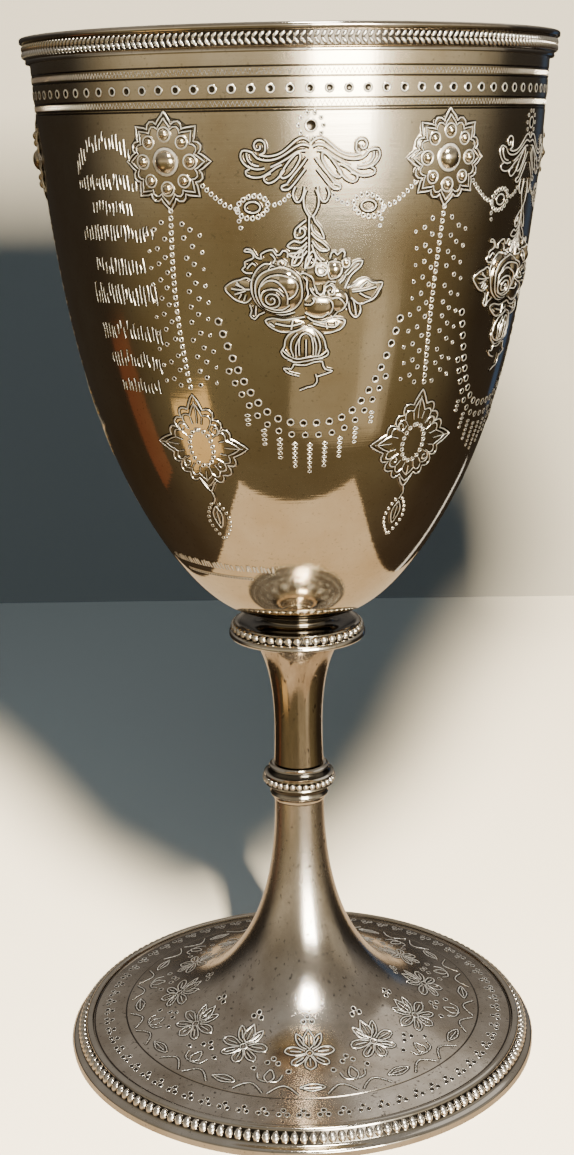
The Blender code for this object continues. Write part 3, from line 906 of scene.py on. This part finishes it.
def buildPalmettes():
    bm = newPiece()
    punch = template("punch", ringShape(0.52, 0.15, 0.08, 8))
    eye = template("eye", ringShape(1.35, 0.2, 0.1, 14))
    bead = template("bead", ringShape(0.6, 0.17, 0.12, 8))
    crown = bowlRun(palmette["crown"])
    count, reach = palmette["dotsRound"]
    across, height, wide, tall, dip = palmette["oval"]
    oval = [(wide * math.cos(math.tau * i / 28), tall * math.sin(math.tau * i / 28)) for i in range(29)]
    inside = [(across + 0.5 * x, height + 0.5 * y) for x, y in oval]
    beads = (
        ([(across + x, height + y - dip * x) for x, y in oval], 1.12, 1.0),
        (palmette["innerBeads"], 1.1, 0.85), (palmette["outerBeads"], 1.15, 0.9),
    )
    for middle in chasedMiddles:
        stamp(bm, bowlWall, eye, middle, crown)
        for i in range(count):
            angle = math.tau * (i + 0.5) / count
            spot = spotAt(bowlWall, middle, crown, reach * math.sin(angle), reach * math.cos(angle))
            stamp(bm, bowlWall, punch, *spot)
        chase(bm, middle, sprigPaths, palmette["base"])
        for side in (1, -1):
            chase(bm, middle, wingPaths, palmette["base"], side=side)
            chase(bm, middle, [inside], 0, side=side)
            for path, pitch, size in beads:
                beadRow(bm, bead, middle, [(side * x, z) for x, z in path], pitch, size)
            for x, z in palmette["dots"]:
                stamp(bm, bowlWall, punch, *placeOn(middle, side * x, z))
    finishPiece("bowlPalmettes", bm, bowlSilver)


bouquetBase = 190
bouquetMounds = (
    # across, height on the bowl, half width, half height, stands
    (-6.4, 190.8, 5.4, 5.0, 2.0), (-4.6, 191.9, 2.9, 2.9, 2.4), (1.6, 193.4, 2.8, 2.3, 1.3),
    (4.5, 194.2, 1.55, 1.8, 1.6), (6.8, 195.4, 0.8, 0.9, 0.8), (-5.7, 195.6, 0.85, 0.65, 0.8),
    (1.6, 187.4, 3.2, 2.6, 1.1), (5.2, 188.2, 2.0, 2.3, 1.1), (-1.2, 179.6, 4.0, 3.6, 0.7),
    (-5.0, 183.5, 4.0, 1.5, 0.4), (3.0, 183.2, 3.9, 1.5, 0.4), (-1.5, 190.2, 9.0, 6.0, 0.25),
    (-13.8, 190.3, 3.2, 2.3, 0.35), (10.9, 189.7, 3.6, 2.6, 0.35),
)
# flowers, leaves and the vase: across and height above the base
bouquetPaths = pairs((
    (-3.2, -4, -5.6, -4.5, -8.2, -3.8, -10.4, -2.3, -11.5, -0.1, -11.6, 2.3, -10.5, 4.4, -8.9, 5.5, -7, 5.1),
    (-1.8, 0.7, -2.3, 2.9, -3.7, 4.3, -5.6, 5, -7.4, 4.7, -9.4, 3.9, -10.6, 2.3, -10.7, -0.1, -9.7, -2.3,
     -7.5, -3.6, -5.1, -3.8, -3.2, -3.1, -2, -1.4, -1.8, 0.7),
    (-4.6, -1.1, -3.2, -0.2, -2.7, 1.7, -3.9, 3.1, -5.8, 3.6, -7.9, 3.4, -9.4, 2.2, -10, 0.3, -9.4, -1.8,
     -7.7, -3, -5.6, -3.2, -4.2, -2.3),
    (-7.8, -1.1, -7.5, -0.7, -7, -1.1, -7.1, -1.8, -7.9, -2.1, -8.6, -1.6, -8.7, -0.7, -8, 0, -6.8, -0.1,
     -6.1, -1.1, -6.3, -2.3, -7.5, -2.8, -8.9, -2.5, -9.6, -1.3, -9.4, 0.1, -8.2, 0.9, -6.5, 0.8, -5.3, -0.4),
    (-9.6, 1.5, -8.4, 2.5, -6.8, 2.5, -5.3, 1.3, -4.6, -0.4, -4.6, -2.1),
    (-11.8, 2.3, -12.7, 2.8, -13.9, 2.4, -15.4, 2, -17, 0.8, -16.2, -0.4, -14.7, -1.6, -12.8, -2.1, -11.7,
     -1.1), (-15.7, 0.7, -14, 0.5, -11.8, 0.6), (-14.8, 1.5, -13.7, 1.1, -13, 0.6),
    (-15, -0.4, -13.7, 0, -12.8, 0.3),
    (-11.5, 3.7, -12.7, 3.7, -13.5, 4.4, -12.9, 5, -13, 5.8, -12.2, 6.2, -11.2, 6.7, -11.6, 7.7, -13, 7.9,
     -12.6, 8.4, -11.5, 8, -10.6, 6.7, -9.6, 6.5), (-12.5, 4.6, -11.5, 5.6, -10.8, 5.1),
    (-9.6, 6.5, -9.8, 7.3, -8.6, 8, -7.4, 8.1, -6.8, 7.2, -6, 7.3, -5.5, 8, -4.6, 7.7, -4.6, 6.7),
    (-6.5, 5.8, -5.7, 6.2, -4.9, 5.7, -5.3, 5, -6.1, 5.2, -6.5, 5.8),
    (-12.1, -2.5, -11.7, -3.7, -12, -4.7, -11.1, -5.4, -10.3, -4.5, -9.2, -4, -9.4, -3.3),
    (-10.7, -2.5, -10.9, -3.7, -10.9, -4.7),
    (3, 4.6, 3.5, 5.6, 4.6, 5.9, 5.7, 5.4, 6, 4.3, 5.4, 3.2, 3.8, 2.5, 3.2, 3.5, 3, 4.6),
    (6.1, 5.8, 6.8, 6.3, 7.5, 5.7, 7.3, 4.9, 6.6, 4.6, 6.1, 5.1, 6.1, 5.8),
    (0.3, 6.4, 0.6, 5.8, 1.5, 5.5, 2.9, 5.6),
    (-0.2, 3.3, 0.3, 2.6, 0.6, 1.2, 1.1, 0, 1.7, -0.5, 2.4, -0.1, 2.6, 1.1, 3.4, 2, 4.8, 1.8),
    (-2.1, 3.6, -1.1, 3.6, -0.1, 3.1),
    (2.5, -0.5, 2.7, 0.6, 3.7, 1.2, 4.5, 0.6, 4.4, -0.4, 3.6, -0.6, 3.3, 0, 3.8, 0.3),
    (-0.2, 0.7, 0.4, -0.4, 1.6, -1.1, 3, -1.3, 4, -2, 4.1, -3.5, 3.3, -4.8),
    (-1.3, -2.4, -0.2, -2.4, 0.5, -1.7, 0.2, -1.1),
    (-1.2, -4.1, 0.4, -4.9, 2.1, -5, 3.4, -4.2, 4.2, -5.2, 5.2, -4.2, 6.4, -3.3, 7.1, -1.6, 6.6, -0.4),
    (4, -1.3, 5.2, -1.1, 6.4, -2.3, 7, -3.8),
    (6.6, 3.4, 7.5, 4.4, 8.7, 5.6, 10.2, 5.7, 9.7, 4.6, 8.5, 3.6, 7.6, 2.6, 6.6, 0.5),
    (7.1, 3.1, 8.3, 4.3, 9.4, 5.2), (3.7, 6.5, 4, 7.5, 4.7, 7.6, 5.1, 7, 6, 7.8, 6.6, 7.4, 6.4, 6.5),
    (7.1, 0.5, 8.6, 1.2, 9.5, 1.9, 11, 2.2, 12.3, 1.4, 14.4, 1.3, 13.7, 0, 12.6, -1.6, 11.1, -2.3, 9.6, -2.7,
     7.9, -1.4), (8.1, -0.2, 10.3, 0, 13.1, 0.6), (9.6, 0.4, 10.5, 1.3, 11.3, 1.7),
    (9.6, -0.5, 10.8, -1.2, 11.9, -1.6), (7.4, -1.4, 7.6, -3.4, 8, -4.6, 9, -5.4, 9.9, -4.4, 9.8, -3),
    (8.4, -1.9, 8.8, -3.4, 9, -4.7),
    (-1.3, -5, -3.2, -5.3, -5.6, -5.5, -7.5, -5.2, -9, -5.7, -7.8, -7, -5.4, -8, -2.7, -7.6, -1.2, -6.7),
    (-1.8, -6.2, -4.2, -6.7, -7, -6.2),
    (-0.7, -5, 0.4, -5.8, 2.3, -6, 4, -5.5, 5.7, -5.5, 6.8, -6, 6, -7.4, 4, -8.2, 2.6, -8.4),
    (0.4, -6.3, 2.3, -6.8, 4.5, -7.1, 5.5, -6.4),
    (-1.2, -7.1, -2.7, -7.6, -4.3, -8.4, -5.1, -9.7, -5.3, -11.1, -5.9, -12, -5.2, -13.1, -3.7, -13.8),
    (-0.8, -7, 0.8, -7.5, 2.1, -8.7, 2.8, -10.3, 3, -11.4, 3.5, -12.3, 3.1, -13, 1.7, -13.5),
    (-5.6, -11.7, -4.4, -12.8, -2.8, -13.4, -1, -13.1, 0.7, -12.9, 2.1, -12.8, 3.2, -11.9),
    (-4.6, -13.6, -2.9, -14.2, -1, -13.9, 0.7, -13.6, 2.4, -13.5),
    (-2.3, -12.6, -2.4, -10.4, -2.1, -8.7, -1, -8.1, 0, -8.8, 0.4, -10.7, 0.4, -12.6),
    (-3.4, -12.9, -4, -11.1, -3.7, -9.4, -2.7, -8.2), (1.4, -12.7, 1.8, -11, 1.4, -9.2, 0.4, -7.6),
    (-3.4, -14.5, -3.9, -15.5, -5.4, -15.4, -4.4, -16.4, -2.3, -17),
    (2.3, -14.1, 2.8, -15.6, 4.3, -16.1, 2.9, -16.7, 1.3, -17.2),
    (-3.4, -14.6, -1.2, -14.8, 0.7, -14.2, 2.3, -14.1),
    (1, -16.7, 1.3, -18.1, 0.6, -19.1, -0.7, -19.4, -2.2, -20),
    (-3.8, 5.2, -3.4, 6.8, -1.9, 8.2, -1.7, 6.6, -2.6, 5.2, -3.8, 5.2), (-3.3, 5.5, -2.3, 7.4),
    (-1.2, 4.6, -0.9, 6.4, 0.3, 7.8, 0.9, 6.6, 0.2, 5, -1.2, 4.6), (-0.9, 4.9, 0.1, 6.9),
    (0.9, 4.9, 1.9, 5.4, 3, 4.8, 2.6, 3.6, 1.4, 3.4, 0.8, 4.2, 0.9, 4.9), (1.3, 4.6, 2.2, 4.4, 2, 3.9),
    (-1.6, 3, -0.8, 2.2, -0.9, 1, -0.6, -0.4, -1.2, -1.6), (5.6, 1.6, 6.3, 2.2, 6.9, 3.2),
    (-8.2, 4.6, -7, 6.4, -7.9, 7.4), (-14.6, 1.9, -13.9, 1.1), (-14.2, -1.3, -13.6, -0.3),
    (-13.2, -1.6, -12.8, -0.5), (-8.2, -6.2, -7.2, -6.8), (4.8, -5.9, 4.9, -6.6), (2.9, -6.2, 3.2, -7.4),
    (-3.6, -5.6, -3.9, -7.4), (-2.9, -13.2, -3, -10.8, -2.4, -9.2), (0.9, -12.9, 1, -10.6, 0.5, -9),
    (-1, -12.9, -1, -9.4),
))


def buildBouquets():
    bm = newPiece()
    dome = template("bouquetDome", domeShape(1, 1, 36, 18))
    for middle in chasedMiddles:
        heap(bm, dome, middle, bouquetMounds)
        chase(bm, middle, bouquetPaths, bouquetBase, bouquetMounds, 0.48, 0.2)
    finishPiece("bowlBouquets", bm, bowlSilver)


garland = {
    # rows of rings: lowest height, rise at the ends, reach in degrees, steepness, pitch, ring size
    "rows": ((163.0, 21.0, 21.0, 3.2, 2.65, 1.0), (160.4, 13.5, 19.5, 3.0, 2.75, 0.85)),
    # string of beads under each rosette: highest, lowest, bow to the side, pitch
    "string": (205.6, 169.0, -0.9, 1.42),
    # dots beside the string: how many, highest, pitch, reach, how much further every other one, scatter
    "dots": (21, 203.4, 1.65, 2.3, 1.7, 0.35),
    # tassels: how many, degrees apart, lowest height, rise at the ends, steepness, pitch of the bars
    "tassels": (9, 3.95, 158.2, 10.0, 2.4, 0.98),
}


def dotString(bm, bead, dot, edge):
    high, low, bow, pitch = garland["string"]
    string = [(bow * math.sin(math.pi * i / 12), high + (low - high) * i / 12) for i in range(13)]
    beadRow(bm, bead, edge, string, pitch)
    count, top, pitch, first, step, scatter = garland["dots"]
    for side in (1, -1):
        for i in range(count):
            z = top - pitch * i
            out = first + step * (i % 2) + random.uniform(-scatter, scatter)
            stamp(bm, bowlWall, dot, *placeOn(edge, side * out, z + random.uniform(-scatter, scatter)))
            if i % 2:
                size = random.uniform(0.7, 0.95)
                stamp(bm, bowlWall, dot, *placeOn(edge, side * (out + 2.0), z - 0.8), size=(size, size, 1))


def hangSwags(bm, punch, bar, middle):
    for lowest, rise, reach, steep, pitch, size in garland["rows"]:
        path = []
        for i in range(61):
            share = i / 30 - 1
            z = lowest + rise * abs(share) ** steep
            path.append((math.radians(share * reach) * onSurface(bowlWall, bowlRun(z))[0][0], z))
        beadRow(bm, punch, middle, path, pitch, size)
    count, apart, lowest, rise, steep, pitch = garland["tassels"]
    for i in range(count):
        across = apart * (i - count // 2)
        top = lowest + rise * abs(across / 19) ** steep
        for k in range(7 - round(abs(across) / 4.2)):
            size = (1.35 - 0.07 * k, 0.8, 1)
            stamp(bm, bowlWall, bar, middle + across, bowlRun(top - pitch * k), size=size)


def buildGarlands():
    bm = newPiece()
    punch = template("garlandPunch", ringShape(0.9, 0.18, 0.12, 10))
    dot = template("garlandDot", ringShape(0.58, 0.14, 0.1, 8))
    bead = template("stringBead", ringShape(0.64, 0.18, 0.2, 8))
    bar = template("tasselBar", ringShape(0.56, 0.16, 0.12, 8))
    random.seed(11)
    for edge in panelEdges:
        dotString(bm, bead, dot, edge)
    for middle in chasedMiddles:
        hangSwags(bm, punch, bar, middle)
    finishPiece("bowlGarlands", bm, bowlSilver)


cartouche = {
    "base": 157,
    # notches between the leafy lobes, with how far each next lobe swells, and its point
    "notches": (
        (-1.7, 8.4, 3.2, 1.5), (1.7, 8.4, 1.3, 1), (3.7, 6.3, 1.2, 1), (4.9, 3.9, 1.2, 1),
        (7.0, 2.3, 3.4, 1.5), (7.0, -1.7, 1.2, 1), (5.4, -3.6, 1.3, 1), (3.9, -5.9, 1.2, 1),
        (1.7, -6.9, 1.8, 1.3), (-1.9, -6.9, 1.2, 1), (-3.9, -5.7, 1.3, 1), (-5.5, -3.3, 1.2, 1),
        (-7.1, -1.4, 3.6, 1.5), (-6.9, 2.5, 1.2, 1), (-4.9, 4.2, 1.2, 1), (-3.6, 6.5, 1.3, 1),
    ),
    "curls": ((-3.9, 4.2, 0), (3.9, 4.0, 180), (-4.0, -3.4, 90), (3.9, -3.7, 270)),
    "veins": (
        ((0, 5.4), (0.2, 7.4), (0, 10.2)), ((5.4, 0.3), (7.2, 0.2), (9.3, 0.2)), ((0, -5.2), (-0.2, -7.4)),
        ((-5.4, 0.4), (-7.8, 0.6), (-10, 0.7)),
    ),
    # the pendant's bow, and its leaf
    "bow": (
        ((-1.6, 1.4), (-0.6, -0.2), (0.2, -0.8), (1.0, 0.4), (1.6, 1.4)),
        ((0.2, -0.8), (0.6, -2.4), (0, -3.8)),
    ),
    "leaf": (
        ((0.2, 0), (1.2, -1.8), (1.0, -3.6), (0.2, -5.2), (-0.7, -3.4), (-0.8, -1.6), (0.2, 0)),
        ((0.2, -1.2), (0.2, -4.2)),
    ),
}


def lobedOutline(notches):
    points = []
    for i, (x, z, swell, point) in enumerate(notches):
        ends = Vector((x, z)), Vector(notches[(i + 1) % len(notches)][:2])
        across = (ends[1] - ends[0]).normalized()
        for k in range(6):
            bulge = (1 - abs(k / 3 - 1) ** 1.2) ** 0.9 if point > 1 else math.sin(math.pi * k / 6) ** 0.7
            points.append(tuple(ends[0].lerp(ends[1], k / 6) + swell * bulge * Vector((-across.y, across.x))))
    return points + points[:1]


def curl(x, z, turn):
    # a small spiral that winds inwards
    turned = Matrix.Rotation(math.radians(turn), 2)
    reaches = [(1.25 * (1 - i / 17), i / 2) for i in range(14)]
    spiral = [Vector((reach * math.cos(angle), reach * math.sin(angle))) for reach, angle in reaches]
    return [tuple(Vector((x, z)) + turned @ spot) for spot in spiral]


def buildCartouches():
    bm = newPiece()
    bead = template("ovalBead", ringShape(0.6, 0.17, 0.14, 8))
    base, notches = cartouche["base"], cartouche["notches"]
    outline = lobedOutline(notches)
    # curls, cuts from the notches towards the oval, and veins in the four points
    fine = [curl(*place) for place in cartouche["curls"]]
    fine += [((0.8 * x, 0.8 * z), (0.6 * x, 0.62 * z)) for x, z, *rest in notches]
    fine += cartouche["veins"]
    oval = [(2.7 * math.sin(math.tau * i / 36), base + 4.0 * math.cos(math.tau * i / 36)) for i in range(36)]
    frame = [(2.5 * math.sin(math.pi * (0.12 + 0.088 * i)), 144.0 - 0.86 * i) for i in range(11)]
    for panel, edge in enumerate(panelEdges):
        side = 1 if panel % 2 else -1
        for share, halfWidth in ((1, 0.5), (0.84, 0.42)):
            spots = [(*placeOn(edge, side * x * share, base + z * share), 0.0) for x, z in outline]
            stripAlong(bm, bowlWall, spots, halfWidth, 0.18)
        chase(bm, edge, fine, base, halfWidth=0.3, side=side)
        beadRow(bm, bead, edge, oval, 1.22)
        chase(bm, edge, cartouche["bow"], 148)
        chase(bm, edge, cartouche["leaf"], 143.6)
        for side in (1, -1):
            beadRow(bm, bead, edge, [(side * x + 0.2, z) for x, z in frame], 1.15, 0.8)
    finishPiece("bowlCartouches", bm, bowlSilver)


engraving = {
    # rows of strokes on the plain panel: height, width, stroke length, arch
    "rows": (
        (217.5, 19, 3.4, 5.0), (209.6, 19, 3.0, 0.6), (204.6, 11, 2.8, 0), (199.4, 20, 3.2, 0),
        (192.6, 14, 3.4, -0.8), (186.6, 18, 4.2, 0), (179.6, 17, 3.6, 0.8), (173.8, 14, 3.4, 1.2),
        (168.2, 11, 3.0, 0),
    ),
    "middle": -42.0, "rings": 94, "ringHeight": 228.2, "teeth": 400,
    # zigzag cuts between the rim's lines, lowest and highest
    "zigzags": ((230.85, 231.8), (225.05, 226.0)),
    # low on the bowl: how many strokes or rings, first and last degrees, height
    "lowStrokes": (34, -62, -9.5, 127.2), "chain": (26, -56, -20, 125.2),
}


def buildEngraving():
    bm = newPiece()
    punch = template("rimPunch", ringShape(1.0, 0.2, 0.12, 12))
    run = bowlRun(engraving["ringHeight"])
    for i in range(engraving["rings"]):
        stamp(bm, bowlWall, punch, 360 * i / engraving["rings"], run)
    teeth = engraving["teeth"]
    for low, high in engraving["zigzags"]:
        bottom, top = bowlRun(low), bowlRun(high)
        spots = [(180 * i / teeth, top if i % 2 else bottom, 0.0) for i in range(2 * teeth + 1)]
        stripAlong(bm, bowlWall, spots, 0.14, 0.06)
    random.seed(5)
    for z, width, tall, arch in engraving["rows"]:
        count = round(width / 0.95)
        for i in range(count):
            share = 2 * i / (count - 1) - 1
            x = width / 2 * share
            foot = z - arch * share * share
            length = tall * random.uniform(0.45, 1.0)
            lean, bow = random.uniform(-0.2, 0.2), random.uniform(-0.2, 0.2)
            foot += (tall - length) * random.choice((0, 0, 0.5, 1))
            stroke = ((x, foot), (x + bow + lean / 2, foot + length / 2), (x + lean, foot + length))
            chase(bm, engraving["middle"], [stroke], 0, halfWidth=0.38)
    count, first, last, low = engraving["lowStrokes"]
    for i in range(count):
        length, lean = random.uniform(1.2, 1.7), random.choice((-0.3, 0, 0.3))
        degrees = first + (last - first) * i / (count - 1)
        chase(bm, degrees, [((0, 0), (lean, length))], low, halfWidth=0.3, height=0.05, profile=wornGlintProfile)
    chain = template("chain", ringShape(0.6, 0.17, 0.1, 8))
    count, first, last, low = engraving["chain"]
    for i in range(count):
        stamp(bm, bowlWall, chain, first + (last - first) * i / (count - 1), bowlRun(low))
    finishPiece("bowlEngraving", bm, bowlSilver)


buildRosettes()
buildPalmettes()
buildBouquets()
buildGarlands()
buildCartouches()
buildEngraving()
print("bowl ornament ready")

# the foot's ornament

footOrnament = {
    # radius on the foot of the daisies, of the cusps between them, and of the lens-shaped leaf under each
    "count": 12, "turned": 3.0, "daisy": 31.0, "cusp": 38.5, "lens": 41.0,
    "daisyDots": ((-1.0, 8.4), (1.0, 8.4), (0, 9.6)),
    "cuspDots": ((-1.3, 4.6), (1.3, 4.6), (0, 5.9), (-4.2, 2.4), (4.2, 2.4)),
    "cuspPaths": (
        ((0, -1.4), (-1.2, 0.2), (0, 2.6), (1.2, 0.2), (0, -1.4)), ((-0.6, -1.2), (-2.4, -0.6), (-3.0, 1.2)),
        ((0.6, -1.2), (2.4, -0.6), (3.0, 1.2)),
    ),
    "lensPaths": (((-3.0, 0), (0, 1.2), (3.0, 0), (0, -1.0), (-3.0, 0)), ((-2.0, 0), (2.0, 0))),
    "heart": ((0.9, 0), (0, 0.9), (-0.9, 0), (0, -0.9)),
    # three dots to a cluster, round the outer band: how many, radius
    "clusters": (66, 48.9), "clusterDots": ((-0.95, -0.45), (0.95, -0.45), (0, 0.85)),
}
# one half of a daisy: the tulip-shaped petal that points to the stem, side petals, lower petals
petalPaths = pairs((
    (0, 1.2, 1.1, 2.4, 1.2, 4.2, 0, 6.4), (0, 2, 0, 5),
    (0.7, 1.1, 2.2, 2, 3, 3.6, 2.9, 5.2, 1.7, 4.4, 1, 3.4), (1.2, 2, 2.3, 4),
    (1.1, 0.6, 3.2, 1.6, 5, 1.4, 5.9, 0.2, 4.4, -0.6, 2.6, -0.5, 1.1, -0.1), (2, 0.4, 4.6, 0.5),
    (1, -0.4, 2.4, -1, 4.2, -2.2, 4.4, -3.4, 3, -3.4, 1.6, -2.4, 0.7, -1), (1.6, -1.4, 3.4, -2.8),
    (0.3, -1, 1.1, -2.4, 1.2, -4, 0, -4.9), (0, -1.6, 0, -3.8),
))


def footDots(bm, dot, degrees, radius, places):
    # on the foot the run grows inwards, so y points to the stem
    for x, y in places:
        stamp(bm, footWall, dot, *spotAt(footWall, degrees, footRun(radius), x, y))


def footLines(bm, degrees, radius, paths, closed=False):
    for path in paths:
        path = smoothPath(path, closed=closed)
        spots = [(*spotAt(footWall, degrees, footRun(radius), x, y), 0.0) for x, y in path]
        stripAlong(bm, footWall, spots, 0.48, 0.12)


def buildFootOrnament():
    bm = newPiece()
    dot = template("footDot", ringShape(0.78, 0.12, 0.08, 8))
    daisy, cusp, count = footOrnament["daisy"], footOrnament["cusp"], footOrnament["count"]
    for i in range(count):
        turned = footOrnament["turned"] + 360 / count * i
        between = turned + 180 / count
        for side in (1, -1):
            footLines(bm, turned, daisy, [[(side * x, y) for x, y in path] for path in petalPaths])
        footLines(bm, turned, daisy, [footOrnament["heart"]], closed=True)
        footDots(bm, dot, turned, daisy, footOrnament["daisyDots"])
        footLines(bm, between, cusp, footOrnament["cuspPaths"])
        footDots(bm, dot, between, cusp, footOrnament["cuspDots"])
        footLines(bm, turned, footOrnament["lens"], footOrnament["lensPaths"])
        for side in (1, -1):
            arc = []
            for k in range(9):
                run = footRun(43.2 - 2.6 * math.sin(math.pi * k / 8))
                arc.append((turned + side * (4.6 + 1.2 * k), run, 0.0))
            stripAlong(bm, footWall, arc, 0.48, 0.14)
    count, radius = footOrnament["clusters"]
    for i in range(count):
        footDots(bm, dot, 360 * i / count, radius, footOrnament["clusterDots"])
    finishPiece("footOrnament", bm, footSilver)


buildFootOrnament()
print("foot ornament ready")
